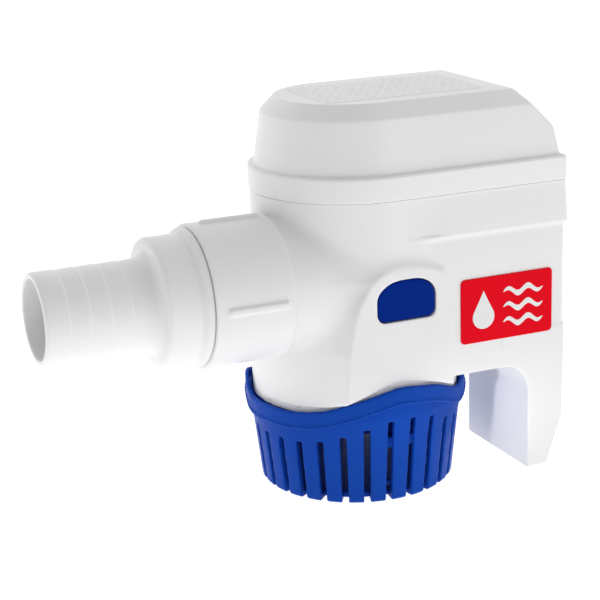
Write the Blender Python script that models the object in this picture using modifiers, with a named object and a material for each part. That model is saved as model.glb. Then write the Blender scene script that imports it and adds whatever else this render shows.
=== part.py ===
"""Automatic bilge pump: a float-switched submersible pump for small boats.

The frame is the installed pump's own. The origin lies on the motor axis at the
strainer's underside, +Z is up, and the discharge points along -X. The float
chamber, with its leg, is at +X.
"""

import math

import bmesh
import bpy
from mathutils import Matrix, Vector

MM = 0.001
GAP = 0.3

# The heights below, in millimetres, start this far above the strainer's underside;
# the finished pieces are lifted by it to stand on z = 0
LIFT = 1.9

# Strainer, in millimetres
SLOTS = 28
SLOT_WIDTH = 2.2
SLOT_DROP = 10.9
SLOT_RADII = (27.4, 39.2)
RIM_R = 37.5
RIM_HEIGHT = 5.8
RIM_BORE_R = 35.0
RIM_GROOVE_R = 36.8
RIM_GROOVE_DEPTH = 3.0
STRAINER_BORE_R = 32.6
STRAINER_FLOOR = 0.3
STRAINER_BEND_Z = 20.0
STRAINER_STEP_Z = 28.7
TONGUE_HALF = 5.5
TONGUE_TOP = 68.5

# Height of the rim against the angle in degrees, repeated each half turn
RIM_WAVE = (
    (-90.0, 38.1), (-74.0, 36.8), (-66.0, 35.6), (-52.0, 32.3), (-46.0, 31.7),
    (-38.0, 32.4), (-30.0, 33.8), (-23.0, 34.2), (-15.0, 32.4), (-8.0, 30.2),
    (0.0, 29.4), (14.0, 29.5), (30.0, 29.7), (48.0, 31.1), (64.0, 34.0),
    (80.0, 37.0), (90.0, 38.1),
)

# Housing
BODY_R = 34.7
BODY_BOTTOM = 29.0
WATER_R = 32.3
UPPER_HALF = 33.2
UPPER_RIGHT = 62.4
HOUSING_TOP = 98.05
LIP_HALF = 31.0
LIP_RIGHT = 60.2
LIP_TOP = 103.5
PANEL_Y = 34.7
PANEL_LEFT = 13.0
PANEL_RIGHT = 61.3
PANEL_TOP = 85.5
BRIDGE_Z = 38.0
DECK_BOTTOM = 83.6
DECK_TOP = 86.4
NOTCH_RADII = (34.8, 41.5)
LEG_LEFT = 47.4
LEG_BOTTOM = 0.9
LEG_REAR_Y = 6.3
LEG_FILLET = 10.0

# Cover
COVER_BOTTOM = 98.35
LEDGE_Z = 106.4
COVER_HALF = 33.6
COVER_RIGHT = 62.6
COVER_TOP = 128.05

# Discharge line
PORT_Y = -11.0
PORT_Z = 70.7
FAIRING_R = 20.0
SPIGOT_R = 19.0
SPIGOT_END = 53.0
PORT_BORE_R = 12.8
NUT_REAR = 35.0
NUT_FRONT = 61.0
NUT_R = 23.1
NUT_WALL = 59.4
NUT_EYE_R = 17.4
NUT_BORE_R = 19.5
COLLAR_REAR = 61.3
COLLAR_FRONT = 75.5
COLLAR_R = 20.5
COLLAR_FOOT_R = 22.1
TAIL_MOUTH = 111.8
TAIL_R = 14.5
TAIL_BORE_R = 12.6
FLAP_PIVOT = (67.1, 10.8)
FLAP_R = 9.8
FLAP_THICK = 1.4

# Latch button
BUTTON_LEFT = -7.5
BUTTON_RIGHT = 12.8
BUTTON_BOTTOM = 59.8
BUTTON_TOP = 72.8
POCKET_Y = 32.8
POCKET_FLOOR_Y = 27.9

# Badge
BADGE_X = (22.0, 56.0)
BADGE_Z = (48.2, 69.8)
BADGE_RECESS_Y = 34.1

# Motor and impeller
CANISTER_R = 21.2
MOTOR_R = 18.2
SHAFT_R = 1.45
SHAFT_HOLE_R = 1.8
CORE_Z = (52.0, 79.0)
CORE_R = 12.6
POLES = 5
VANES = 5
IMPELLER_R = 20.5

# Float
FLOAT_X = (50.7, 58.2)
FLOAT_Y = (-31.9, 3.5)
FLOAT_Z = (18.0, 36.0)
STEM_X = 54.4
STEM_Y = -14.0
LEG_BORE_X = (50.2, 58.7)
LEG_BORE_Y = (-32.4, 4.0)

# Circuit board
BOARD_POSTS = ((40.0, -22.0), (40.0, 22.0))

# Cable inlet
GLAND_Y = 12.0
GLAND_Z = 93.5

# Sides of the turned pieces
BIG = 48
MEDIUM = 36
SMALL = 24
TINY = 12

MATERIALS = {
    "white_plastic": ((0.83, 0.83, 0.84, 1.0), 0.32, 0.0),
    "blue_plastic": ((0.02, 0.08, 0.45, 1.0), 0.35, 0.0),
    "navy_plastic": ((0.01, 0.02, 0.25, 1.0), 0.35, 0.0),
    "red_badge": ((0.72, 0.01, 0.02, 1.0), 0.4, 0.0),
    "label_film": ((0.78, 0.78, 0.79, 1.0), 0.45, 0.0),
    "grey_plastic": ((0.30, 0.31, 0.32, 1.0), 0.45, 0.0),
    "black_rubber": ((0.02, 0.02, 0.02, 1.0), 0.7, 0.0),
    "steel": ((0.55, 0.55, 0.56, 1.0), 0.3, 1.0),
    "zinc_steel": ((0.62, 0.63, 0.65, 1.0), 0.35, 1.0),
    "ferrite": ((0.05, 0.05, 0.055, 1.0), 0.6, 0.0),
    "copper": ((0.72, 0.30, 0.13, 1.0), 0.35, 1.0),
    "bronze": ((0.55, 0.36, 0.16, 1.0), 0.4, 1.0),
    "carbon": ((0.03, 0.03, 0.03, 1.0), 0.6, 0.0),
    "board": ((0.02, 0.16, 0.06, 1.0), 0.4, 0.0),
    "glass": ((0.50, 0.62, 0.55, 1.0), 0.15, 0.0),
}

# Local +Z of a piece on the discharge line points along world -X
TO_PORT = (0.0, -math.pi / 2, 0.0)
# Local +Z of a piece at the cable inlet points along world +X
TO_INLET = (0.0, math.pi / 2, 0.0)


def clear_scene():
    for item in list(bpy.data.objects):
        bpy.data.objects.remove(item, do_unlink=True)


def new_collection(name):
    collection = bpy.data.collections.new(name)
    bpy.context.scene.collection.children.link(collection)
    return collection


def make_material(name):
    colour, roughness, metallic = MATERIALS[name]
    material = bpy.data.materials.new(name)
    material.use_nodes = True
    shader = material.node_tree.nodes["Principled BSDF"]
    shader.inputs["Base Color"].default_value = colour
    shader.inputs["Roughness"].default_value = roughness
    shader.inputs["Metallic"].default_value = metallic
    return material


def shade(mesh):
    mesh.shade_smooth()
    mesh.set_sharp_from_angle(angle=math.radians(35))


def mesh_object(name, bm, location=(0, 0, 0), rotation=(0, 0, 0)):
    bmesh.ops.recalc_face_normals(bm, faces=bm.faces)
    mesh = bpy.data.meshes.new(name)
    bm.to_mesh(mesh)
    bm.free()
    item = bpy.data.objects.new(name, mesh)
    item.location = [v * MM for v in location]
    item.rotation_euler = rotation
    return item


def bake(item):
    """Replace an object by a plain welded mesh of its evaluated shape."""
    TOOLS.objects.link(item)
    bpy.context.view_layer.update()
    graph = bpy.context.evaluated_depsgraph_get()
    evaluated = item.evaluated_get(graph)
    mesh = bpy.data.meshes.new_from_object(evaluated)
    bm = bmesh.new()
    bm.from_mesh(mesh)
    bmesh.ops.remove_doubles(bm, verts=bm.verts, dist=1e-6)
    bm.to_mesh(mesh)
    bm.free()
    baked = bpy.data.objects.new(item.name, mesh)
    baked.matrix_world = item.matrix_world
    name = item.name
    bpy.data.objects.remove(item, do_unlink=True)
    baked.name = name
    return baked


def box(name, x, y, z, bevel=0.0):
    bm = bmesh.new()
    bmesh.ops.create_cube(bm, size=1.0)
    size = [(b - a) * MM for a, b in (x, y, z)]
    bmesh.ops.scale(bm, vec=size, verts=bm.verts)
    centre = [(a + b) / 2 for a, b in (x, y, z)]
    item = mesh_object(name, bm, centre)
    if bevel:
        rounding = item.modifiers.new("edges", "BEVEL")
        rounding.width = bevel * MM
        rounding.segments = 2
        item = bake(item)
    return item


def turned(name, profile, steps=SMALL, location=(0, 0, 0), rotation=(0, 0, 0)):
    """Turn a profile of (radius, height) about local Z; it closes unless it ends on the axis."""
    points = [(r * MM, 0.0, h * MM) for r, h in profile]
    edges = [(i, i + 1) for i in range(len(points) - 1)]
    if profile[0][0] > 0:
        edges.append((len(points) - 1, 0))
    mesh = bpy.data.meshes.new(name)
    mesh.from_pydata(points, edges, [])
    item = bpy.data.objects.new(name, mesh)
    item.location = [v * MM for v in location]
    item.rotation_euler = rotation
    screw = item.modifiers.new("turn", "SCREW")
    screw.axis = "Z"
    screw.angle = 2 * math.pi
    screw.steps = steps
    screw.render_steps = steps
    screw.use_merge_vertices = True
    screw.merge_threshold = 0.00001
    return item


def plate(name, outlines, low, high, rotation=(0, 0, 0), location=(0, 0, 0)):
    """Extrude flat outlines from height low to high along local Z."""
    curve = bpy.data.curves.new(name, "CURVE")
    curve.dimensions = "2D"
    curve.fill_mode = "BOTH"
    curve.extrude = (high - low) / 2 * MM
    for outline in outlines:
        spline = curve.splines.new("POLY")
        spline.points.add(len(outline) - 1)
        for point, (u, v) in zip(spline.points, outline):
            point.co = (u * MM, v * MM, 0.0, 1.0)
        spline.use_cyclic_u = True
    item = bpy.data.objects.new(name, curve)
    turn = Matrix.LocRotScale(Vector(location) * MM, None, None)
    turn @= Matrix.Rotation(rotation[2], 4, "Z")
    turn @= Matrix.Rotation(rotation[1], 4, "Y")
    turn @= Matrix.Rotation(rotation[0], 4, "X")
    item.matrix_world = turn @ Matrix.Translation((0, 0, (low + high) / 2 * MM))
    return bake(item)


def side_plate(name, outline, y_low, y_high):
    """Extrude an outline of (x, z) points along Y."""
    return plate(name, [outline], -y_high, -y_low, rotation=(math.pi / 2, 0, 0))


def as_tool(item):
    if item.name not in TOOLS.objects:
        TOOLS.objects.link(item)
    item.hide_render = True
    item.display_type = "WIRE"


def combine(item, other, operation, solver="EXACT"):
    as_tool(other)
    modifier = item.modifiers.new(operation.lower(), "BOOLEAN")
    modifier.operation = operation
    modifier.object = other
    modifier.solver = solver


def cut(item, *others):
    for other in others:
        combine(item, other, "DIFFERENCE")


def join(item, *others):
    for other in others:
        combine(item, other, "UNION")


def place(item, material):
    """Put a finished piece in the part's collection with its material."""
    PART.objects.link(item)
    if material not in MADE:
        MADE[material] = make_material(material)
    if item.data.materials:
        item.data.materials[0] = MADE[material]
    else:
        item.data.materials.append(MADE[material])
    shade(item.data)
    return item


def oval(cx, cy, wide, high, start, end, count):
    """Points on an ellipse from start to end degrees, both included."""
    points = []
    for i in range(count):
        angle = math.radians(start + (end - start) * i / (count - 1))
        points.append((cx + wide * math.cos(angle), cy + high * math.sin(angle)))
    return points


def arc(cx, cy, radius, start, end, count):
    return oval(cx, cy, radius, radius, start, end, count)


def polar(radius, angle):
    a = math.radians(angle)
    return (radius * math.cos(a), radius * math.sin(a))


def d_outline(half, right, corner):
    """Half-round left end about the axis, straight sides, square right end with round corners."""
    points = arc(0, 0, half, 90, 270, 29)
    points += arc(right - corner, -half + corner, corner, -90, 0, 4)
    points += arc(right - corner, half - corner, corner, 0, 90, 4)
    return points


def d_ring(half, right, corner, z):
    return [(x, y, z) for x, y in d_outline(half, right, corner)]


def loft(name, rings, closed=False):
    """Close a body from rings of equal point count: round on itself, or capped at both ends."""
    bm = bmesh.new()
    levels = []
    for ring in rings:
        levels.append([bm.verts.new([c * MM for c in point]) for point in ring])
    count = len(levels[0])
    if closed:
        levels.append(levels[0])
    for low, high in zip(levels, levels[1:]):
        for i in range(count):
            j = (i + 1) % count
            bm.faces.new((low[i], low[j], high[j], high[i]))
    if not closed:
        bm.faces.new(list(reversed(levels[0])))
        bm.faces.new(levels[-1])
    return mesh_object(name, bm)


def rim_height(angle):
    """Height of the strainer's wavy rim: a smooth curve through RIM_WAVE."""
    angle = (angle + 90.0) % 180.0 - 90.0
    before = (RIM_WAVE[-2][0] - 180.0, RIM_WAVE[-2][1])
    after = (RIM_WAVE[1][0] + 180.0, RIM_WAVE[1][1])
    knots = (before,) + RIM_WAVE + (after,)
    i = 1
    while angle > knots[i + 1][0]:
        i += 1
    (a0, z0), (a1, z1) = knots[i], knots[i + 1]
    rise0 = (z1 - knots[i - 1][1]) / (a1 - knots[i - 1][0]) * (a1 - a0)
    rise1 = (knots[i + 2][1] - z0) / (knots[i + 2][0] - a0) * (a1 - a0)
    t = (angle - a0) / (a1 - a0)
    blend = t * t * (3 - 2 * t)
    return (z0 + (z1 - z0) * blend + rise0 * t * (1 - t) ** 2 - rise1 * t * t * (1 - t))


def strainer_wall_r(z):
    """Outer radius of the strainer's wall at a height."""
    if z < STRAINER_BEND_Z:
        return 32.5 + 2.4 * (z + LIFT) / (STRAINER_BEND_Z + LIFT)
    return 34.9 + 1.3 * min(1.0, (z - STRAINER_BEND_Z) / 8.0)


def rim_ring(radius, height):
    """One ring about the axis; radius may depend on height and height on the rim's top."""
    points = []
    columns = SLOTS * 3
    for i in range(columns):
        angle = 360.0 * i / columns
        z = height(rim_height(angle)) if callable(height) else height
        r = radius(z) if callable(radius) else radius
        x, y = polar(r, angle)
        points.append((x, y, z))
    return points


def make_strainer():
    strainer = loft("strainer", [
        rim_ring(31.9, -LIFT),
        rim_ring(32.5, -LIFT + 0.6),
        rim_ring(strainer_wall_r, STRAINER_BEND_Z),
        rim_ring(strainer_wall_r, lambda top: top - RIM_HEIGHT - 0.8),
        rim_ring(RIM_R, lambda top: top - RIM_HEIGHT),
        rim_ring(RIM_R, lambda top: top - 0.5),
        rim_ring(RIM_R - 0.5, lambda top: top),
        rim_ring(RIM_GROOVE_R, lambda top: top),
        rim_ring(RIM_GROOVE_R, lambda top: top - RIM_GROOVE_DEPTH),
        rim_ring(RIM_BORE_R, lambda top: top - RIM_GROOVE_DEPTH),
        rim_ring(RIM_BORE_R, STRAINER_STEP_Z),
        rim_ring(STRAINER_BORE_R, STRAINER_STEP_Z),
        rim_ring(STRAINER_BORE_R, STRAINER_BEND_Z),
        rim_ring(30.4, STRAINER_FLOOR),
    ])
    cut(strainer, slot_cutter(), *floor_holes())
    for side in (-1, 1):
        join(strainer, tongue(side))
    place(strainer, "blue_plastic")


def slot_cutter():
    """All the inlet slots as one cutter of separate radial blocks."""
    bm = bmesh.new()
    inner, outer = SLOT_RADII
    bottom = -LIFT - 1.0
    for k in range(SLOTS):
        angle = 360.0 * (k + 0.5) / SLOTS
        top = rim_height(angle) - SLOT_DROP
        size = Vector((outer - inner, SLOT_WIDTH, top - bottom)) * MM
        middle = Vector(((inner + outer) / 2, 0, (top + bottom) / 2)) * MM
        made = bmesh.ops.create_cube(bm, size=1.0)
        bmesh.ops.scale(bm, vec=size, verts=made["verts"])
        bmesh.ops.translate(bm, vec=middle, verts=made["verts"])
        turn = Matrix.Rotation(math.radians(angle), 3, "Z")
        bmesh.ops.rotate(bm, cent=(0, 0, 0), matrix=turn, verts=made["verts"])
    return mesh_object("slot_tool", bm)


def floor_holes():
    """Screw holes through the strainer's floor."""
    holes = []
    for angle in (30, 150, 270):
        x, y = polar(22, angle)
        holes.append(turned("floor_hole", [(0, 2), (2.2, 2), (2.2, -4), (0, -4)], 16, (x, y, 0)))
    return holes


def tongue(side):
    """Latch tongue that stands on a shelf inside the strainer's wall."""
    inner = 28.2
    outer = 29.4
    span = (inner, outer) if side > 0 else (-outer, -inner)
    root = (inner, 33.2) if side > 0 else (-33.2, -inner)
    blade = box("tongue", (-TONGUE_HALF, TONGUE_HALF), span, (17.5, TONGUE_TOP))
    shelf = box("shelf", (-TONGUE_HALF, TONGUE_HALF), root, (17.0, 20.5))
    join(blade, shelf)
    return bake(blade)


def button_outline(grow=0.0):
    """Button face in x and z: flat foot and an arched top that falls further on the left."""
    left = BUTTON_LEFT - grow
    right = BUTTON_RIGHT + grow
    low = BUTTON_BOTTOM - grow
    high = BUTTON_TOP + grow
    corner = 2.7 + grow
    wide, tall = 7.8 + grow, 5.8 + grow
    points = arc(left + corner, low + corner, corner, 180, 270, 5)
    points += arc(right - corner, low + corner, corner, 270, 360, 5)
    points += oval(right - wide, high - tall, wide, tall, 0, 90, 7)
    wide, tall = 9.0 + grow, 6.0 + grow
    points += oval(left + wide, high - tall, wide, tall, 90, 180, 7)
    return points


def boss_outline():
    """Raised face round the latch button in x and z, arched over the button."""
    low = BODY_BOTTOM + 0.05
    points = [(-17.6, low), (PANEL_LEFT - 0.5, low), (PANEL_LEFT - 0.5, BRIDGE_Z + 0.5)]
    points += [(PANEL_LEFT + 2, BRIDGE_Z + 3), (PANEL_LEFT + 2, 74.2)]
    points += [(12.8, 75.3), (10.0, 76.3), (6.5, 77.0), (3.0, 77.3), (-0.5, 77.1)]
    points += [(-4.0, 76.3), (-7.2, 74.9), (-10.5, 71.9), (-13.0, 68.4), (-14.6, 64.0)]
    return points


def leg_outline():
    """Leg and its fillet under the bridge, in x and z."""
    points = [(LEG_LEFT, LEG_BOTTOM)]
    centre = (LEG_LEFT - LEG_FILLET, BRIDGE_Z - LEG_FILLET + 0.05)
    points += arc(centre[0], centre[1], LEG_FILLET, 0, 90, 7)
    points += [(centre[0], 50.0), (PANEL_RIGHT - 0.1, 50.0)]
    points += [(PANEL_RIGHT - 0.2, BRIDGE_Z), (60.6, 17.3), (54.9, LEG_BOTTOM)]
    return points


def housing_outside():
    """Union of the housing's outer masses, before it is hollowed."""
    body = turned("body_mass", [
        (0, 81), (UPPER_HALF - 0.6, 81), (UPPER_HALF - 0.6, 78), (BODY_R, 73),
        (BODY_R, BODY_BOTTOM), (0, BODY_BOTTOM),
    ], BIG)
    body = bake(body)
    upper = loft("upper_mass", [
        d_ring(UPPER_HALF, PANEL_RIGHT - 1.5, 1.4, 75.0),
        d_ring(UPPER_HALF, PANEL_RIGHT - 1.5, 1.4, PANEL_TOP - 1.2),
        d_ring(UPPER_HALF, UPPER_RIGHT, 1.4, PANEL_TOP - 1.1),
        d_ring(UPPER_HALF, UPPER_RIGHT, 1.4, HOUSING_TOP),
    ])
    lip = plate("lip_mass", [d_outline(LIP_HALF, LIP_RIGHT, 1.0)], 97.0, LIP_TOP)
    panel = box("panel_mass", (PANEL_LEFT, PANEL_RIGHT), (-PANEL_Y, PANEL_Y),
                (BRIDGE_Z, PANEL_TOP), 1.8)
    boss = side_plate("boss_mass", boss_outline(), -PANEL_Y + 0.03, PANEL_Y - 0.03)
    leg = side_plate("leg_mass", leg_outline(), -PANEL_Y + 0.02, LEG_REAR_Y)
    fairing = turned("fairing_mass", [(0, NUT_REAR - GAP), (FAIRING_R, NUT_REAR - GAP),
                                      (FAIRING_R, 8), (0, 8)],
                     MEDIUM, (0, PORT_Y, PORT_Z), TO_PORT)
    spigot = turned("spigot_mass", [(0, SPIGOT_END), (SPIGOT_R, SPIGOT_END), (SPIGOT_R, 20),
                                    (0, 20)],
                    MEDIUM, (0, PORT_Y, PORT_Z), TO_PORT)
    join(body, upper, lip, panel, boss, leg, bake(fairing), bake(spigot))
    return bake(body)


def latch_block(side):
    """Solid that keeps the latch pocket apart from the water passage."""
    near = (-36.0, -POCKET_FLOOR_Y + 1.7) if side < 0 else (POCKET_FLOOR_Y - 1.7, 36.0)
    low = box("latch_block_low", (-9.4, 9.4), near, (20.0, 60.0))
    high = box("latch_block_high", (-11.4, 16.8), near, (55.5, 80.0))
    join(low, high)
    return bake(low)


def water_space():
    """Annular passage round the motor canister, less the two latch blocks."""
    space = bake(turned("water_space", [
        (0, DECK_BOTTOM), (30.4, DECK_BOTTOM), (30.4, 76), (WATER_R, 72), (WATER_R, 20), (0, 20),
    ], BIG))
    cut(space, latch_block(-1), latch_block(1))
    return bake(space)


def float_space():
    """Float chamber beside the water passage."""
    space = box("float_space", (19.5, 59.2), (-32.3, 32.3), (BRIDGE_Z + 2.2, DECK_BOTTOM))
    keep = bake(turned("round_wall", [(0, 90), (BODY_R, 90), (BODY_R, 30), (0, 30)], BIG))
    cut(space, keep)
    return bake(space)


def leg_bore():
    outline = [(LEG_BORE_X[0], -1), (LEG_BORE_X[0], 44), (LEG_BORE_X[1], 44),
               (LEG_BORE_X[1], 17.6), (52.7, -1)]
    return side_plate("leg_bore", outline, *LEG_BORE_Y)


def latch_pocket(side):
    """Button window, the pocket behind it and the tongue's way up to it."""
    def span(low, high):
        return (low, high) if side > 0 else (-high, -low)

    window = side_plate("window", button_outline(GAP), *span(30.0, 37.0))
    pocket = side_plate("pocket", button_outline(1.6), *span(POCKET_FLOOR_Y, POCKET_Y))
    way = box("tongue_way", (-7.4, 7.4), span(POCKET_FLOOR_Y, 32.4), (30.0, 62.0))
    foot = box("tongue_foot", (-7.3, 7.3), span(POCKET_FLOOR_Y - 0.05, 29.8), (20.0, 31.0))
    join(window, pocket, way, foot)
    return bake(window)


def make_housing():
    housing = housing_outside()
    housing.name = "housing"
    dry_low = plate("dry_low", [d_outline(31.0, 60.2, 1.4)], DECK_TOP, 96.0)
    dry_high = plate("dry_high", [d_outline(29.0, 58.4, 1.0)], 95.0, 110.0)
    canister_hole = turned("canister_hole", [(0, 90), (21.6, 90), (21.6, 80), (0, 80)], MEDIUM)
    bore = turned("port_bore", [(0, 60), (PORT_BORE_R, 60), (PORT_BORE_R, 14), (0, 14)],
                  MEDIUM, (0, PORT_Y, PORT_Z), TO_PORT)
    vent = turned("vent", [(0, 40), (1.3, 40), (1.3, 30), (0, 30)], 12,
                  (52, 0, 80), (-math.pi / 2, 0, 0))
    gland_hole = turned("gland_hole", [(0, 67), (4.2, 67), (4.2, 55), (0, 55)], 24,
                        (0, GLAND_Y, GLAND_Z), TO_INLET)
    recess = box("badge_recess", (BADGE_X[0] - GAP, BADGE_X[1] + GAP), (-36, -BADGE_RECESS_Y),
                 (BADGE_Z[0] - GAP, BADGE_Z[1] + GAP))
    inner, outer = NOTCH_RADII
    rim_notch = loft("rim_notch", [
        rim_ring(inner, BODY_BOTTOM - 5),
        rim_ring(inner, lambda top: top + 0.9),
        rim_ring(outer, lambda top: top + 0.9),
        rim_ring(outer, BODY_BOTTOM - 5),
    ], closed=True)
    passage = water_space()
    join(passage, bake(bore), bake(canister_hole))
    chamber = float_space()
    join(chamber, leg_bore(), bake(vent))
    for hollow in (rim_notch, bake(passage), bake(chamber), dry_low, dry_high,
                   bake(gland_hole), recess, latch_pocket(-1), latch_pocket(1)):
        combine(housing, hollow, "DIFFERENCE", "MANIFOLD")
    for x, y in BOARD_POSTS:
        post = bake(turned("board_post", [(0, 92.7), (3.0, 92.7), (3.0, 86), (0, 86)], 20,
                           (x, y, 0)))
        hole = bake(turned("post_hole", [(0, 94), (1.4, 94), (1.4, 87.5), (0, 87.5)], 12,
                           (x, y, 0)))
        combine(housing, post, "UNION", "MANIFOLD")
        combine(housing, hole, "DIFFERENCE", "MANIFOLD")
    for x, y in canister_screw_places():
        pilot = bake(turned("pilot", [(0, 88), (1.4, 88), (1.4, 84.6), (0, 84.6)], 12,
                            (x, y, 0)))
        combine(housing, pilot, "DIFFERENCE", "MANIFOLD")
    place(bake(housing), "white_plastic")


def canister_screw_places():
    return [polar(26.6, angle) for angle in (60, 180, 300)]


def make_cover():
    """Dished cover: one closed shell, open below, with a square right end that slopes."""
    outside = loft("top_cover", [
        d_ring(COVER_HALF, COVER_RIGHT, 1.6, COVER_BOTTOM),
        d_ring(COVER_HALF, COVER_RIGHT, 1.6, LEDGE_Z - 0.5),
        d_ring(COVER_HALF - 0.5, COVER_RIGHT - 0.5, 1.4, LEDGE_Z),
        d_ring(31.6, 61.0, 1.4, LEDGE_Z),
        d_ring(30.2, 59.4, 1.4, 115.6),
        d_ring(29.0, 52.0, 1.6, 123.4),
        d_ring(24.8, 48.0, 1.6, COVER_TOP - 0.35),
        d_ring(24.3, 47.4, 1.6, COVER_TOP),
    ])
    inside = loft("cover_inside", [
        d_ring(31.6, 60.6, 1.2, COVER_BOTTOM - 1),
        d_ring(31.6, 60.6, 1.2, 105.3),
        d_ring(29.6, 59.0, 1.2, 105.31),
        d_ring(28.2, 57.4, 1.2, 115.0),
        d_ring(27.0, 50.6, 1.4, 121.9),
        d_ring(23.6, 46.8, 1.6, 125.8),
    ])
    label_recess = plate("label_recess", [label_outline(GAP)], COVER_TOP - 0.6, 130.0)
    cut(outside, inside, label_recess)
    place(outside, "white_plastic")


def label_outline(grow=0.0):
    left, right = -16.0 - grow, 41.0 + grow
    half, corner = 17.5 + grow, 3.0
    points = arc(left + corner, half - corner, corner, 90, 180, 4)
    points += arc(left + corner, -half + corner, corner, 180, 270, 4)
    points += arc(right - corner, -half + corner, corner, 270, 360, 4)
    points += arc(right - corner, half - corner, corner, 0, 90, 4)
    return points


def make_cover_trim():
    place(plate("cover_label", [label_outline()], COVER_TOP - 0.3, COVER_TOP + 0.1), "label_film")
    outer = d_outline(30.8, 60.0, 1.2)
    inner = d_outline(29.7, 59.1, 1.0)
    place(plate("cover_gasket", [outer, inner], LIP_TOP + GAP, 105.0), "black_rubber")


def make_badge():
    plate_y = (-PANEL_Y - 0.2, -BADGE_RECESS_Y - GAP)
    badge = box("badge_plate", BADGE_X, plate_y, BADGE_Z)
    place(badge, "red_badge")


def make_buttons():
    for side, name in ((-1, "latch_button_front"), (1, "latch_button_rear")):
        def span(low, high):
            return (low, high) if side > 0 else (-high, -low)

        button = side_plate(name, button_outline(), *span(31.9, PANEL_Y - 0.1))
        flange = side_plate("button_flange", button_outline(1.2), *span(31.6, POCKET_Y - GAP))
        join(button, flange)
        place(button, "navy_plastic")


def make_canister():
    flange_r = 29.4
    canister = turned("motor_canister", [
        (flange_r, 90.0), (flange_r, 88.0), (CANISTER_R, 88.0), (CANISTER_R, 40.0), (5.4, 40.0),
        (5.4, 42.4), (19.2, 42.4), (19.2, 90.0),
    ], MEDIUM)
    canister = bake(canister)
    canister.name = "motor_canister"
    for x, y in canister_screw_places():
        hole = bake(turned("flange_hole", [(0, 91), (1.4, 91), (1.4, 87), (0, 87)], 12,
                           (x, y, 0)))
        cut(canister, hole)
    place(canister, "white_plastic")
    for index, (x, y) in enumerate(canister_screw_places(), 1):
        make_screw(f"canister_screw_{index}", x, y, 90.3, 85.0)
    ring = [(23.2 + 0.6 * math.cos(a), 87.2 + 0.6 * math.sin(a)) for a in ring_angles(6)]
    place(turned("canister_seal", ring), "black_rubber")


def ring_angles(count):
    """Angles that run down the outer side first."""
    return [-2 * math.pi * i / count for i in range(count)]


def make_screw(name, x, y, seat, tip):
    """Pan-head screw pointing down: its head rests on seat and its point is at tip."""
    profile = [(0, seat + 1.7), (1.5, seat + 1.6), (2.3, seat + 0.9), (2.3, seat),
               (1.1, seat), (1.1, tip + 0.6), (0.4, tip), (0, tip)]
    place(turned(name, profile, TINY, (x, y, 0)), "zinc_steel")


def make_motor():
    can = [(MOTOR_R, 89.5), (MOTOR_R, 43.2), (4.6, 43.2), (4.6, 44.8), (16.8, 44.8),
           (16.8, 89.5)]
    place(turned("motor_can", can), "zinc_steel")
    cap = [(6.4, 96.0), (6.4, 93.0), (MOTOR_R, 93.0), (MOTOR_R, 89.8), (16.5, 89.8),
           (16.5, 86.2), (15.0, 86.2), (15.0, 90.6), (4.6, 90.6), (4.6, 96.0)]
    place(turned("motor_end_cap", cap), "grey_plastic")
    for name, low, high in (("lower_bearing", 43.3, 47.4), ("upper_bearing", 91.0, 95.6)):
        ring = [(4.3, high), (4.3, low), (SHAFT_HOLE_R, low), (SHAFT_HOLE_R, high)]
        place(turned(name, ring, 16), "bronze")
    seal = [(5.1, 42.2), (5.1, 40.2), (SHAFT_HOLE_R, 39.4), (SHAFT_HOLE_R, 42.2)]
    place(turned("shaft_seal", seal, 16), "black_rubber")
    for name, middle in (("magnet_left", 180), ("magnet_right", 0)):
        outline = arc(0, 0, 16.5, middle - 62, middle + 62, 16)
        outline += arc(0, 0, 13.2, middle + 62, middle - 62, 16)
        place(plate(name, [outline], 47.8, 82.0), "ferrite")
    for name, x in (("brush_left", (-11.0, -4.6)), ("brush_right", (4.6, 11.0))):
        place(box(name, x, (-1.9, 1.9), (84.6, 88.0)), "carbon")


def core_outline():
    """Laminated core: a hub with pole necks and wide pole faces."""
    points = []
    pitch = 360.0 / POLES
    for k in range(POLES):
        middle = k * pitch
        face = pitch / 2 - 6.0
        neck = math.degrees(math.asin(2.4 / 9.6))
        root = math.degrees(math.asin(2.4 / 5.2))
        points += arc(0, 0, 5.2, middle - root, middle - root, 2)[:1]
        points += arc(0, 0, 9.6, middle - neck, middle - neck, 2)[:1]
        points += arc(0, 0, 10.8, middle - face, middle - face, 2)[:1]
        points += arc(0, 0, CORE_R, middle - face, middle + face, 6)
        points += arc(0, 0, 10.8, middle + face, middle + face, 2)[:1]
        points += arc(0, 0, 9.6, middle + neck, middle + neck, 2)[:1]
        points += arc(0, 0, 5.2, middle + root, middle + root, 2)[:1]
    return points


def slot_bar_outline(middle):
    """One bundle of winding between two pole necks."""
    return (arc(0, 0, 6.0, middle - 5, middle + 5, 3)
            + arc(0, 0, 9.0, middle + 15, middle - 15, 4))


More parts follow.
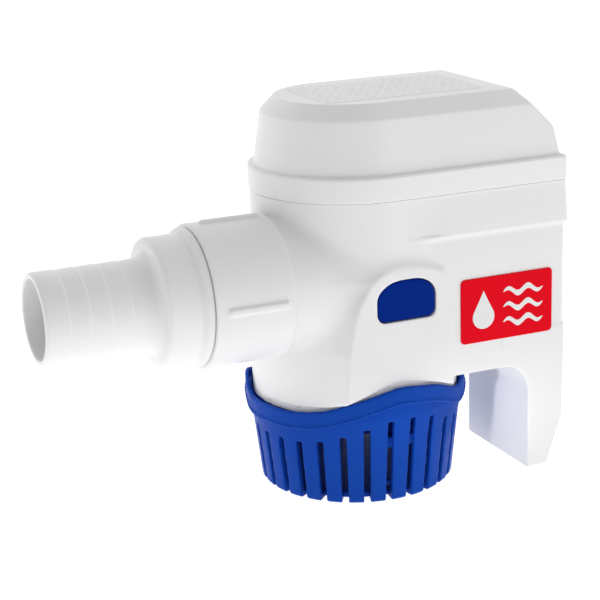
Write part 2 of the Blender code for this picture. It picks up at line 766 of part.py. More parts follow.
def make_rotor():
    hole = arc(0, 0, SHAFT_HOLE_R, 0, 337.5, 16)
    place(plate("armature_core", [core_outline(), hole], *CORE_Z), "steel")
    low, high = CORE_Z
    windings = bake(turned("windings", [
        (9.0, low - GAP), (10.6, low - 1.4), (10.6, low - 3.0), (9.0, low - 3.8),
        (4.6, low - 3.8), (4.6, low - GAP)], 20))
    windings.name = "windings"
    upper = bake(turned("upper_turns", [
        (9.0, high + 3.8), (10.6, high + 3.0), (10.6, high + 1.4), (9.0, high + GAP),
        (4.6, high + GAP), (4.6, high + 3.8)], 20))
    join(windings, upper)
    for k in range(POLES):
        middle = (k + 0.5) * 360.0 / POLES
        join(windings, plate("slot_bar", [slot_bar_outline(middle)], low - 1.5, high + 1.5))
    place(windings, "copper")
    place(turned("commutator", [(4.2, 89.2), (4.2, 83.6), (SHAFT_HOLE_R, 83.6),
                                (SHAFT_HOLE_R, 89.2)], 16), "copper")
    place(turned("shaft", [(0, 95.8), (SHAFT_R, 95.8), (SHAFT_R, 25.5), (0, 25.5)], 16), "steel")
    make_impeller()


def vane_outline():
    """Hub and swept vanes as one closed outline."""
    points = []
    pitch = 360.0 / VANES
    radii = (4.6, 8.0, 12.0, 16.0, 20.0)
    for k in range(VANES):
        start = k * pitch
        for r in radii:
            points.append(polar(r, start + 3.4 * (r - 4.6) + 68.0 / r))
        for r in reversed(radii):
            points.append(polar(r, start + 3.4 * (r - 4.6) + 150.0 / r))
        points += arc(0, 0, 4.6, start + 48, start + pitch + 8, 3)
    return points


def make_impeller():
    impeller = bake(turned("impeller", [
        (0, 38.4), (IMPELLER_R, 38.4), (IMPELLER_R, 36.8), (6.0, 36.8), (4.4, 35.0),
        (4.4, 25.8), (0, 25.8)], SMALL))
    impeller.name = "impeller"
    join(impeller, plate("vanes", [vane_outline()], 26.2, 37.2))
    cut(impeller, bake(turned("bore", [(0, 40), (SHAFT_HOLE_R, 40), (SHAFT_HOLE_R, 24),
                                       (0, 24)], 16)))
    place(impeller, "navy_plastic")


def make_intake():
    """Cup under the impeller, with guides that the strainer's tongues pass through."""
    outer = WATER_R - GAP
    inner = outer - 1.6
    intake = bake(turned("intake_plate", [
        (outer, 32.5), (outer, 22.0), (10.5, 22.0), (9.6, 23.0), (9.6, 25.0), (12.0, 24.2),
        (inner, 24.2), (inner, 32.5)], BIG))
    intake.name = "intake_plate"
    for side in (-1, 1):
        guide = sorted((side * 26.0, side * 30.8))
        channel = sorted((side * 27.6, side * 34.0))
        landing = sorted((side * 25.9, side * 34.0))
        join(intake, box("guide", (-8.2, 8.2), guide, (22.1, 28.6)))
        cut(intake, box("channel", (-6.4, 6.4), channel, (20.0, 34.0)),
            box("landing", (-9.7, 9.7), landing, (28.7, 34.0)))
    place(intake, "navy_plastic")


def make_leg_grille():
    low, high = 7.5, 9.0
    grille = box("leg_grille", (50.6, 55.0), (LEG_BORE_Y[0] + GAP, LEG_BORE_Y[1] - GAP),
                 (low, high))
    first = LEG_BORE_Y[0] + 2.6
    for k in range(6):
        y = first + 5.6 * k
        cut(grille, box("grille_slot", (51.6, 54.0), (y, y + 3.6), (low - 1, high + 1)))
    place(grille, "white_plastic")


def make_float():
    body = box("float", FLOAT_X, FLOAT_Y, FLOAT_Z, 1.2)
    body.name = "float"
    stem = bake(turned("stem", [(0, 60.0), (1.7, 60.0), (1.7, 34.0), (0, 34.0)], 16,
                       (STEM_X, STEM_Y, 0)))
    join(body, stem)
    place(body, "grey_plastic")
    magnet = [(0, 65.5), (2.9, 65.5), (2.9, 60.3), (0, 60.3)]
    place(turned("float_magnet", magnet, 24, (STEM_X, STEM_Y, 0)), "ferrite")


def make_board():
    board = box("circuit_board", (23.0, 53.4), (-25.5, 25.5), (93.0, 94.6))
    for x, y in BOARD_POSTS:
        cut(board, bake(turned("board_hole", [(0, 96), (1.4, 96), (1.4, 92), (0, 92)], 12,
                               (x, y, 0))))
    place(board, "board")
    for name, (x, y) in zip(("board_screw_front", "board_screw_rear"), BOARD_POSTS):
        make_screw(name, x, y, 94.9, 88.2)
    reed = [(0, 7.0), (1.3, 6.4), (1.3, -6.4), (0, -7.0)]
    place(turned("reed_switch", reed, 16, (STEM_X, STEM_Y, 91.2), (math.pi / 2, 0, 0)), "glass")


def make_gland():
    place(turned("cable_gland", [
        (5.0, 69.1), (6.4, 67.7), (6.4, UPPER_RIGHT + GAP), (3.9, UPPER_RIGHT + GAP),
        (3.9, 54.2), (2.7, 54.2), (2.7, 69.1)],
        32, (0, GLAND_Y, GLAND_Z), TO_INLET), "black_rubber")
    place(turned("gland_nut", [
        (6.8, 58.1), (6.8, 56.0), (4.8, 56.0), (4.8, 58.1)], 6, (0, GLAND_Y, GLAND_Z),
        TO_INLET), "white_plastic")


def make_tail():
    """Hose tail with shallow barbs, its collar and the neck that the nut turns on."""
    profile = [(TAIL_BORE_R, TAIL_MOUTH), (TAIL_R - 0.6, TAIL_MOUTH), (TAIL_R, TAIL_MOUTH - 0.8)]
    for h in (104.0, 97.5, 91.0, 84.5):
        profile += [(TAIL_R + 0.1, h + 0.4), (TAIL_R - 0.35, h)]
    profile += [
        (TAIL_R, 78.5), (15.4, 76.4), (17.0, COLLAR_FRONT), (18.6, COLLAR_FRONT - 0.1),
        (20.0, 74.7), (COLLAR_R, 73.2), (COLLAR_R, 64.2), (COLLAR_FOOT_R, 63.2),
        (COLLAR_FOOT_R, COLLAR_REAR), (17.0, COLLAR_REAR),
        (17.0, 59.2), (14.7, 59.2), (14.7, 65.3), (17.6, 65.5), (17.6, 72.6),
        (TAIL_BORE_R, 75.0),
    ]
    place(turned("discharge_tail", profile, SMALL, (0, PORT_Y, PORT_Z), TO_PORT), "white_plastic")


def make_nut():
    nut = bake(turned("union_nut", [
        (NUT_R - 0.5, NUT_FRONT), (NUT_R, NUT_FRONT - 0.5), (NUT_R, NUT_REAR),
        (NUT_BORE_R, NUT_REAR),
        (NUT_BORE_R, NUT_WALL), (NUT_EYE_R, NUT_WALL), (NUT_EYE_R, NUT_FRONT),
    ], MEDIUM, (0, PORT_Y, PORT_Z), TO_PORT))
    nut.name = "union_nut"
    low, high = NUT_R - 0.6, NUT_R + 1.1
    wide = 1.1
    x = (-57.2, -37.7)
    near = (PORT_Y - wide, PORT_Y + wide)
    level = (PORT_Z - wide, PORT_Z + wide)
    join(nut,
         box("rib_top", x, near, (PORT_Z + low, PORT_Z + high)),
         box("rib_foot", x, near, (PORT_Z - high, PORT_Z - low)),
         box("rib_front", x, (PORT_Y - high, PORT_Y - low), level),
         box("rib_rear", x, (PORT_Y + low, PORT_Y + high), level))
    place(nut, "white_plastic")


def make_check_valve():
    seat = bake(turned("check_valve_seat", [
        (14.4, 65.0), (14.4, 58.9), (19.1, 58.9), (19.1, 56.6), (8.2, 56.6), (8.2, 65.0),
    ], SMALL, (0, PORT_Y, PORT_Z), TO_PORT))
    seat.name = "check_valve_seat"
    pivot_h, pivot_up = FLAP_PIVOT
    pivot = (-pivot_h, PORT_Y, PORT_Z + pivot_up)
    along_y = (math.pi / 2, 0, 0)
    for side in (-1, 1):
        y = sorted((PORT_Y + side * 4.8, PORT_Y + side * 6.2))
        join(seat, box("ear", (-69.0, -64.5), y, (PORT_Z + 9.4, PORT_Z + 12.4)))
    cut(seat, bake(turned("pin_hole", [(0, 9), (1.1, 9), (1.1, -9), (0, -9)], 16, pivot,
                          along_y)))
    place(seat, "grey_plastic")
    place(turned("flap_pin", [(0, 6.6), (0.75, 6.6), (0.75, -6.6), (0, -6.6)], 16, pivot,
                 along_y), "steel")
    flap = bake(turned("check_flap", [
        (0, 65.3 + FLAP_THICK), (FLAP_R, 65.3 + FLAP_THICK), (FLAP_R, 65.3), (0, 65.3)],
        SMALL, (0, PORT_Y, PORT_Z), TO_PORT))
    flap.name = "check_flap"
    knuckle = bake(turned("knuckle", [(0, 4.4), (1.65, 4.4), (1.65, -4.4), (0, -4.4)], 20,
                          pivot, along_y))
    flap_hole = bake(turned("flap_hole", [(0, 9), (1.1, 9), (1.1, -9), (0, -9)], 16, pivot,
                            along_y))
    join(flap, knuckle)
    cut(flap, flap_hole)
    place(flap, "black_rubber")
    ring = [(16.2 + 1.2 * math.cos(a), 55.0 + 1.2 * math.sin(a)) for a in ring_angles(6)]
    place(turned("tail_seal_ring", ring, SMALL, (0, PORT_Y, PORT_Z), TO_PORT), "black_rubber")


def set_origin(name, point):
    """Move an object's origin to a point without moving its shape."""
    item = PART.objects[name]
    if item.modifiers:
        solid = bake(item)
        solid.name = name
        PART.objects.link(solid)
        item = solid
    target = Matrix.Translation(Vector(point) * MM)
    item.data.transform(target.inverted() @ item.matrix_world)
    item.matrix_world = target
    shade(item.data)


def lift_all():
    for item in list(PART.objects) + list(TOOLS.objects):
        item.location.z += LIFT * MM


clear_scene()
PART = new_collection("bilge_pump")
TOOLS = new_collection("cutters")
MADE = {}

make_strainer()
make_housing()
make_cover()
make_cover_trim()
make_badge()
make_buttons()
make_canister()
make_motor()
make_rotor()
make_intake()
make_leg_grille()
make_float()
make_board()
make_gland()
make_tail()
make_nut()
make_check_valve()
set_origin("check_flap", (-FLAP_PIVOT[0], PORT_Y, PORT_Z + FLAP_PIVOT[1]))
lift_all()
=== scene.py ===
"""Looks of the automatic bilge pump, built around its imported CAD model.

Moulded pieces are signed distance fields, negative inside and in millimetres, which
dual contouring turns into meshes. Turned and lofted pieces are plain mesh code.
The pieces that only work inside the pump keep their CAD shape and get a finish.
"""

import math

import bpy
import numpy as np
from mathutils import Matrix, Vector


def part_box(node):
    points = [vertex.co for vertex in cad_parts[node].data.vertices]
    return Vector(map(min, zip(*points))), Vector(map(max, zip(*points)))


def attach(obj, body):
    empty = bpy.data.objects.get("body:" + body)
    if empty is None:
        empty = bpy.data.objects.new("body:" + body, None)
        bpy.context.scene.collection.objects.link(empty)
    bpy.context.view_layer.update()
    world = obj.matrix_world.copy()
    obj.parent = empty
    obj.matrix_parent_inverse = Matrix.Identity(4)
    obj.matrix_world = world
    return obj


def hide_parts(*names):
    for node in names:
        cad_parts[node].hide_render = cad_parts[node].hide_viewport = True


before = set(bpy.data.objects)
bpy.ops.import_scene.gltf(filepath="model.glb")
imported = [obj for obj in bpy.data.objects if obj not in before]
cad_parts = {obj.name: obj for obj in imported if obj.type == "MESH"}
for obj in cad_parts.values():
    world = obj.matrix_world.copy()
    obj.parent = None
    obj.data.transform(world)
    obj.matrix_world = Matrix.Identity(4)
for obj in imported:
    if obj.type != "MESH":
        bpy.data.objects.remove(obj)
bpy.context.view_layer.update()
MM = 0.001

# Angle in degrees above which an edge of turned and lofted meshes stays sharp
SHARP_ANGLE = 30

# Heights in this script, in millimetres, start this far above the strainer's underside
LIFT = np.array((0.0, 0.0, 1.9))


def span(node):
    """Lowest and highest corner of a CAD node, in the script's millimetres."""
    low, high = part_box(node)
    return np.array(low) / MM - LIFT, np.array(high) / MM - LIFT


STRAINER = span("strainer")
HOUSING = span("housing")
COVER = span("top_cover")
LABEL = span("cover_label")
BADGE = span("badge_plate")
NUT = span("union_nut")
TAIL = span("discharge_tail")
GLAND = span("cable_gland")

# Strainer
SLOTS = 28
SLOT_WIDTH = 2.2
SLOT_DROP = 10.9
SLOT_FROM_R = 27.4
BASE_Z = STRAINER[0][2]
FLOOR_Z = 0.3
BEND_Z = 20.0
STEP_Z = 28.7
RIM_R = STRAINER[1][0]
RIM_HEIGHT = 5.8
RIM_BORE_R = 35.0
GROOVE_R = 36.1
GROOVE_DEPTH = 3.0
SCREW_CIRCLE_R = 22
SCREW_HOLE_R = 2.2
SCREW_ANGLES = (30, 150, 270)
TONGUE_HALF = 5.5
TONGUE_TOP = 68.5

# Height of the rim against the angle in degrees, repeated each half turn
RIM_WAVE = (
    (-90.0, 38.1), (-74.0, 36.8), (-66.0, 35.6), (-52.0, 32.3), (-46.0, 31.7),
    (-38.0, 32.4), (-30.0, 33.8), (-23.0, 34.2), (-15.0, 32.4), (-8.0, 30.2),
    (0.0, 29.4), (14.0, 29.5), (30.0, 29.7), (48.0, 31.1), (64.0, 34.0),
    (80.0, 37.0), (90.0, 38.1),
)

# Housing
BODY_R = 34.7
BODY_BOTTOM = 29.0
UPPER_HALF = 33.2
UPPER_RIGHT = HOUSING[1][0]
UPPER_BOTTOM = 84.3
UPPER_TOP = 98.2
FLARE_TOP = 97.0
LIP_HALF = 31.0
LIP_RIGHT = 60.2
PANEL_Y = 34.7
PANEL_RIGHT = 61.3
PANEL_TOP = 85.5
PANEL_SET_BACK = 0.3
BEVEL_DEPTH = 0.9
BEVEL_LEVELS = (75.5, 83.4, 85.3)
BOSS_RIGHT = 17.0
BUTTON_X = (-7.5, 12.8)
BUTTON_Z = (59.8, 72.8)
BRIDGE_Z = 38.0
DECK = (83.6, 86.4)
LEG_LEFT = 47.4
LEG_BOTTOM = 0.9
LEG_FILLET = 10.0
LEG_BACK = 6.3
PORT_Y, PORT_Z = (TAIL[0][1:] + TAIL[1][1:]) / 2
FAIRING_R = 20.0
FAIRING_END = 34.7
SPIGOT_R = 19.0
SPIGOT_END = 53.0
PORT_BORE_R = 12.8

# Outlet
NUT_REAR, NUT_FRONT = -NUT[1][0], -NUT[0][0]
NUT_R = 23.1
NUT_BORE_R = 19.5
NUT_EYE_R = 17.4
NUT_WALL = 59.4
RIB_R = 24.15
RIB_HALF = 1.1
RIB_REACH = (37.7, 57.2)
COLLAR_R = 20.5
COLLAR_FOOT_R = 22.1
NECK_R = 17.0
TAIL_R = 14.5
TAIL_BORE_R = 12.6
BARBS = (104.0, 97.5, 91.0, 84.5)
NUT_GAP = 0.07

# Cover
SEAM_Z = COVER[0][2]
LEDGE_Z = 106.4
COVER_HALF = 33.6
COVER_TOP = COVER[1][2]


# ---------------------------------------------------------------- distance fields

def larger(*fields):
    result = fields[0]
    for field in fields[1:]:
        result = np.maximum(result, field)
    return result


def smaller(*fields):
    result = fields[0]
    for field in fields[1:]:
        result = np.minimum(result, field)
    return result


def melt(a, b, width):
    """Union of two fields with a fillet about as wide as width."""
    share = np.maximum(width - np.abs(a - b), 0.0) / width
    return np.minimum(a, b) - share * share * width / 4


def carve(a, b, width=0.4):
    """Field a with b taken away, its new edges eased."""
    return -melt(-a, b, width)


def trim(a, b, width):
    """Intersection of two fields with its edges eased."""
    return -melt(-a, -b, width)


def slab(v, low, high):
    return np.maximum(low - v, v - high)


def block(x, y, z, low, high, radius=0.0):
    """Box between two corners, with round edges."""
    parts = [slab(v, a + radius, b - radius) for v, a, b in zip((x, y, z), low, high)]
    outside = np.sqrt(sum(np.maximum(part, 0.0) ** 2 for part in parts))
    return outside + np.minimum(larger(*parts), 0.0) - radius


def rod(u, v, centre, radius):
    return np.hypot(u - centre[0], v - centre[1]) - radius


def d_shape(x, y, half, right, corner):
    """Plan with a round left end about the motor axis and a square right end."""
    qx = x - (right - corner)
    qy = np.abs(y) - (half - corner)
    square = np.hypot(np.maximum(qx, 0), np.maximum(qy, 0))
    square = square + np.minimum(np.maximum(qx, qy), 0) - corner
    return np.where(x < 0, np.hypot(x, y) - half, square)


def outline_field(u, v, points):
    """Signed distance in a plane to a closed outline."""
    nearest = np.inf
    inside = np.zeros(np.broadcast(u, v).shape, bool)
    for (ax, ay), (bx, by) in zip(points, points[1:] + points[:1]):
        ex, ey = bx - ax, by - ay
        share = np.clip(((u - ax) * ex + (v - ay) * ey) / (ex * ex + ey * ey), 0, 1)
        gap = (u - ax - ex * share) ** 2 + (v - ay - ey * share) ** 2
        nearest = np.minimum(nearest, gap)
        if ay != by:
            inside ^= ((ay > v) != (by > v)) & (u < ax + ex * (v - ay) / ey)
    return np.where(inside, -1.0, 1.0) * np.sqrt(nearest)


def extrude(flat, across, radius=0.0):
    """Solid from a flat field and the field across it, with round edges."""
    a = flat + radius
    b = across + radius
    outside = np.hypot(np.maximum(a, 0), np.maximum(b, 0))
    return outside + np.minimum(np.maximum(a, b), 0) - radius


def gradient(field, points):
    """Unit normals of a field at points, by differences towards a tetrahedron's corners."""
    step = 0.02
    total = np.zeros_like(points)
    for corner in ((1, -1, -1), (-1, -1, 1), (-1, 1, -1), (1, 1, 1)):
        corner = np.array(corner, float)
        total += corner * field(*(points + corner * step).T)[:, None]
    return total / np.maximum(np.linalg.norm(total, axis=1, keepdims=True), 1e-9)


def edge_crossings(field, values, grid, axis):
    """Where the surface crosses the grid's edges along an axis."""
    count = values.shape[axis]
    here = np.take(values, range(count - 1), axis)
    there = np.take(values, range(1, count), axis)
    index = np.argwhere((here < 0) != (there < 0))
    a = here[tuple(index.T)].astype(float)
    b = there[tuple(index.T)].astype(float)
    start = np.stack([grid[k][index[:, k]] for k in range(3)], 1)
    pitch = grid[axis][1] - grid[axis][0]
    low = np.zeros(len(index))
    high = np.ones(len(index))
    flips = a < 0
    for _ in range(4):
        share = np.clip(a / (a - b), 0.02, 0.98)
        share = low + (high - low) * share
        point = start.copy()
        point[:, axis] += share * pitch
        value = field(*point.T)
        left = (value < 0) == flips
        low = np.where(left, share, low)
        a = np.where(left, value, a)
        high = np.where(left, high, share)
        b = np.where(left, b, value)
    return index, point, flips


def contour(field, low, high, pitch):
    """Points and quads of a field's surface, by dual contouring with sharp edges kept."""
    grid = [np.arange(a - 1.37 * pitch, b + 1.6 * pitch, pitch) for a, b in zip(low, high)]
    shape = [len(line) for line in grid]
    values = field(*np.meshgrid(*grid, indexing="ij", sparse=True))
    values = np.broadcast_to(values, shape)
    cells, marks, normals, quads = [], [], [], []
    for axis in range(3):
        index, point, flips = edge_crossings(field, values, grid, axis)
        normal = gradient(field, point)
        side_a, side_b = (axis + 1) % 3, (axis + 2) % 3
        around = []
        for da, db in ((0, 0), (-1, 0), (-1, -1), (0, -1)):
            cell = index.copy()
            cell[:, side_a] += da
            cell[:, side_b] += db
            around.append(np.ravel_multi_index(tuple(cell.T), shape))
            cells.append(around[-1])
            marks.append(point)
            normals.append(normal)
        quad = np.stack(around, 1)
        quads.append(np.where(flips[:, None], quad, quad[:, ::-1]))
    cells, owner = np.unique(np.concatenate(cells), return_inverse=True)
    marks = np.concatenate(marks)
    normals = np.concatenate(normals)
    points = settle(owner, marks, normals, len(cells))
    corner = np.stack(np.unravel_index(cells, shape), 1) * pitch + [line[0] for line in grid]
    points = np.clip(points, corner, corner + pitch)
    return points, np.searchsorted(cells, np.concatenate(quads))


def settle(owner, marks, normals, count):
    """One point for each cell, where the planes of its crossings meet best."""
    def gather(weights):
        return np.bincount(owner, weights, count)

    number = gather(None)
    middle = np.stack([gather(marks[:, k]) / number for k in range(3)], 1)
    lift = (normals * (marks - middle[owner])).sum(1)
    target = np.stack([gather(normals[:, k] * lift) for k in range(3)], 1)
    square = np.zeros((count, 3, 3))
    for i in range(3):
        for j in range(3):
            square[:, i, j] = gather(normals[:, i] * normals[:, j])
    sizes, ways = np.linalg.eigh(square)
    strength = np.where(sizes > 0.06 * number[:, None], 1 / np.maximum(sizes, 1e-9), 0.0)
    along = np.einsum("nij,ni->nj", ways, target) * strength
    return middle + np.einsum("nij,nj->ni", ways, along)


def moulded(name, field, low, high, pitch):
    """Mesh object from a field, shaded with the field's own normals."""
    points, quads = contour(field, low, high, pitch)
    mesh = bpy.data.meshes.new(name)
    mesh.from_pydata((points + LIFT) * MM, [], quads.tolist())
    mesh.update()
    item = bpy.data.objects.new(name, mesh)
    bpy.context.collection.objects.link(item)
    centre = points[quads].mean(1)
    flat = np.repeat(gradient(field, centre), 4, axis=0)
    soft = gradient(field, points)[quads.ravel()]
    close = (flat * soft).sum(1) > math.cos(math.radians(40))
    mesh.shade_smooth()
    mesh.normals_split_custom_set(np.where(close[:, None], soft, flat))
    return item


# ---------------------------------------------------------------- mesh helpers

def eased(points, reach, steps=4, closed=True):
    """Outline, in any number of coordinates, with its corners turned into curves."""
    points = [np.array(point, float) for point in points]
    result = []
    for i, here in enumerate(points):
        if not closed and i in (0, len(points) - 1):
            result.append(here)
            continue
        before = points[i - 1] - here
        after = points[(i + 1) % len(points)] - here
        long_before, long_after = np.linalg.norm(before), np.linalg.norm(after)
        cut = min(reach, 0.45 * long_before, 0.45 * long_after)
        start = here + before / long_before * cut
        end = here + after / long_after * cut
        for k in range(steps + 1):
            t = k / steps
            result.append((1 - t) ** 2 * start + 2 * t * (1 - t) * here + t * t * end)
    return result


def mesh_object(name, points, faces):
    """Object from points in millimetres, smooth but for its sharp edges."""
    mesh = bpy.data.meshes.new(name)
    mesh.from_pydata([tuple((np.array(point) + LIFT) * MM) for point in points], [], faces)
    mesh.update()
    mesh.shade_smooth()
    mesh.set_sharp_from_angle(angle=math.radians(SHARP_ANGLE))
    item = bpy.data.objects.new(name, mesh)
    bpy.context.collection.objects.link(item)
    return item


def turned(name, profile, steps=128, axis="port"):
    """Closed profile of radius and height, turned about the outlet's, gland's or motor's axis."""
    points = []
    faces = []
    count = len(profile)
    for i in range(steps):
        angle = 2 * math.pi * i / steps
        for radius, height in profile:
            a, b = radius * math.cos(angle), radius * math.sin(angle)
            if axis == "port":
                points.append((-height, PORT_Y + a, PORT_Z + b))
            elif axis == "gland":
                middle = (GLAND[0] + GLAND[1]) / 2
                points.append((height, middle[1] + a, middle[2] + b))
            else:
                points.append((a, b, height))
        for k in range(count):
            j = (k + 1) % count
            low, high = i * count, (i + 1) % steps * count
            faces.append((low + k, low + j, high + j, high + k))
    item = mesh_object(name, points, faces)
    face_outwards(item)
    return item


def face_outwards(item):
    """Turn a closed mesh's faces so that they look out of it."""
    mesh = item.data
    volume = 0.0
    mesh.calc_loop_triangles()
    for triangle in mesh.loop_triangles:
        a, b, c = (mesh.vertices[i].co for i in triangle.vertices)
        volume += a.dot(b.cross(c))
    if volume < 0:
        mesh.flip_normals()


def loft(name, rings):
    """Closed body through rings of equal point count, capped at both ends."""
    count = len(rings[0])
    points = [point for ring in rings for point in ring]
    faces = []
    for level in range(len(rings) - 1):
        low, high = level * count, (level + 1) * count
        for i in range(count):
            j = (i + 1) % count
            faces.append((low + i, low + j, high + j, high + i))
    faces.append(tuple(range(count))[::-1])
    faces.append(tuple(range(len(points) - count, len(points))))
    item = mesh_object(name, points, faces)
    face_outwards(item)
    return item


def oval(cx, cy, wide, tall, start, end, count):
    points = []
    for i in range(count):
        angle = math.radians(start + (end - start) * i / (count - 1))
        points.append((cx + wide * math.cos(angle), cy + tall * math.sin(angle)))
    return points


def arc(cx, cy, radius, start, end, count):
    return oval(cx, cy, radius, radius, start, end, count)


def d_ring(half, right, corner, z):
    points = arc(0, 0, half, 90, 270, 65)
    points += arc(right - corner, -half + corner, corner, -90, 0, 9)
    points += arc(right - corner, half - corner, corner, 0, 90, 9)
    return [(x, y, z) for x, y in points]


# ---------------------------------------------------------------- strainer

def rim_height(angle):
    """Height of the strainer's wavy rim: a smooth curve through RIM_WAVE."""
    angle = (angle + 90.0) % 180.0 - 90.0
    before = (RIM_WAVE[-2][0] - 180.0, RIM_WAVE[-2][1])
    after = (RIM_WAVE[1][0] + 180.0, RIM_WAVE[1][1])
    at, level = np.array((before,) + RIM_WAVE + (after,)).T
    slope = (level[2:] - level[:-2]) / (at[2:] - at[:-2])
    k = np.clip(np.searchsorted(at, angle, side="right") - 1, 1, len(at) - 3)
    wide = at[k + 1] - at[k]
    t = (angle - at[k]) / wide
    straight = level[k] + (level[k + 1] - level[k]) * t * t * (3 - 2 * t)
    return straight + wide * t * (1 - t) * (slope[k - 1] * (1 - t) - slope[k] * t)


def strainer_field(x, y, z):
    r = np.hypot(x, y)
    angle = np.degrees(np.arctan2(y, x))
    top = rim_height(angle)
    outer = np.interp(z, (BASE_Z, BASE_Z + 0.7, BEND_Z, 28), (31.8, 32.5, 34.9, 36.2))
    wall = larger(r - outer, z - (top - RIM_HEIGHT + 2), BASE_Z - z)
    bead = np.interp(z - top + RIM_HEIGHT, (0.8, 1.2), (0.0, 0.35))
    band = trim(r - RIM_R + bead, z - top, 0.9)
    band = trim(band, top - RIM_HEIGHT - z, 0.7)
    solid = smaller(wall, band)
    inner = np.interp(z, (FLOOR_Z, BEND_Z), (30.4, 32.6))
    basin = larger(r - inner, FLOOR_Z - z)
    seat = larger(r - RIM_BORE_R, STEP_Z - z)
    groove = larger(slab(r, RIM_BORE_R - 0.5, GROOVE_R), top - GROOVE_DEPTH - z)
    solid = carve(solid, smaller(basin, seat, groove), 0.4)
    pitch = 360.0 / SLOTS
    middle = (np.floor(angle / pitch) + 0.5) * pitch
    aside = np.abs(r * np.sin(np.radians(angle - middle)))
    slot = trim(aside - SLOT_WIDTH / 2, z - (rim_height(middle) - SLOT_DROP), 0.8)
    solid = carve(solid, larger(slot, SLOT_FROM_R - r), 0.5)
    for hole in SCREW_ANGLES:
        a = math.radians(hole)
        centre = (SCREW_CIRCLE_R * math.cos(a), SCREW_CIRCLE_R * math.sin(a))
        solid = carve(solid, rod(x, y, centre, SCREW_HOLE_R))
    side = np.abs(y)
    tongue = block(x, side, z, (-TONGUE_HALF, 28.2, 17.5), (TONGUE_HALF, 29.4, TONGUE_TOP), 0.5)
    root = block(x, side, z, (-TONGUE_HALF, 28.2, 17.0), (TONGUE_HALF, 33.2, 20.5), 0.4)
    return smaller(solid, tongue, root)


def intake_field(x, y, z):
    """Cup under the impeller, with guides for the strainer's tongues."""
    r = np.hypot(x, y)
    side = np.abs(y)
    cup = trim(r - 32.0, slab(z, 22.0, 32.5), 0.8)
    cup = carve(cup, larger(r - 30.4, 24.2 - z), 0.5)
    lip = larger(r - 12.0, slab(z, 22.0, 25.0), (r - 12.0) * 0.316 + (z - 24.2) * 0.949)
    cup = smaller(cup, lip, larger(slab(x, -8.2, 8.2), slab(side, 26.0, 30.8), slab(z, 22.1, 28.6)))
    eye = r - np.interp(z, (22.0, 23.0), (10.5, 9.6))
    channel = larger(slab(x, -6.4, 6.4), 27.6 - side)
    landing = larger(slab(x, -9.7, 9.7), 25.9 - side, 28.7 - z)
    return carve(cup, smaller(eye, channel, landing))


# ---------------------------------------------------------------- housing

def button_outline(grow=0.0):
    """Button face in x and z: flat foot and an arched top that falls further on the left."""
    left, right = BUTTON_X[0] - grow, BUTTON_X[1] + grow
    low, high = BUTTON_Z[0] - grow, BUTTON_Z[1] + grow
    corner = 2.7 + grow
    points = arc(left + corner, low + corner, corner, 180, 270, 7)
    points += arc(right - corner, low + corner, corner, 270, 360, 7)
    wide, tall = 7.8 + grow, 5.8 + grow
    points += oval(right - wide, high - tall, wide, tall, 0, 90, 13)
    wide, tall = 9.0 + grow, 6.0 + grow
    return points + oval(left + wide, high - tall, wide, tall, 90, 180, 13)


def boss_outline():
    """Raised face round the latch button in x and z, arched over the button."""
    points = [(-18.4, 24.0), (BOSS_RIGHT, 24.0), (BOSS_RIGHT, 71.4), (14.5, 72.7), (10.7, 74.0)]
    points += [(6.5, 74.8), (3.0, 75.0), (-0.5, 74.7), (-4.0, 73.8), (-7.2, 72.2)]
    points += [(-10.0, 69.8), (-12.2, 66.6), (-13.6, 62.5)]
    return points


def leg_outline():
    """Leg and its fillet under the bridge, in x and z."""
    points = [(LEG_LEFT, LEG_BOTTOM)]
    centre = (LEG_LEFT - LEG_FILLET, BRIDGE_Z - LEG_FILLET + 0.05)
    points += arc(centre[0], centre[1], LEG_FILLET, 0, 90, 13)
    points += [(centre[0], 50.0), (PANEL_RIGHT - 0.1, 50.0), (PANEL_RIGHT - 0.2, BRIDGE_Z)]
    return points + [(60.6, 17.3), (54.9, LEG_BOTTOM)]


BOSS = [tuple(point) for point in eased(boss_outline(), 2.0, 3)]
LEG = leg_outline()
LEG_BORE = [(50.2, -1.0), (50.2, 44.0), (58.7, 44.0), (58.7, 17.6), (52.7, -1.0)]
WINDOW = button_outline(0.3)
POCKET = button_outline(1.6)


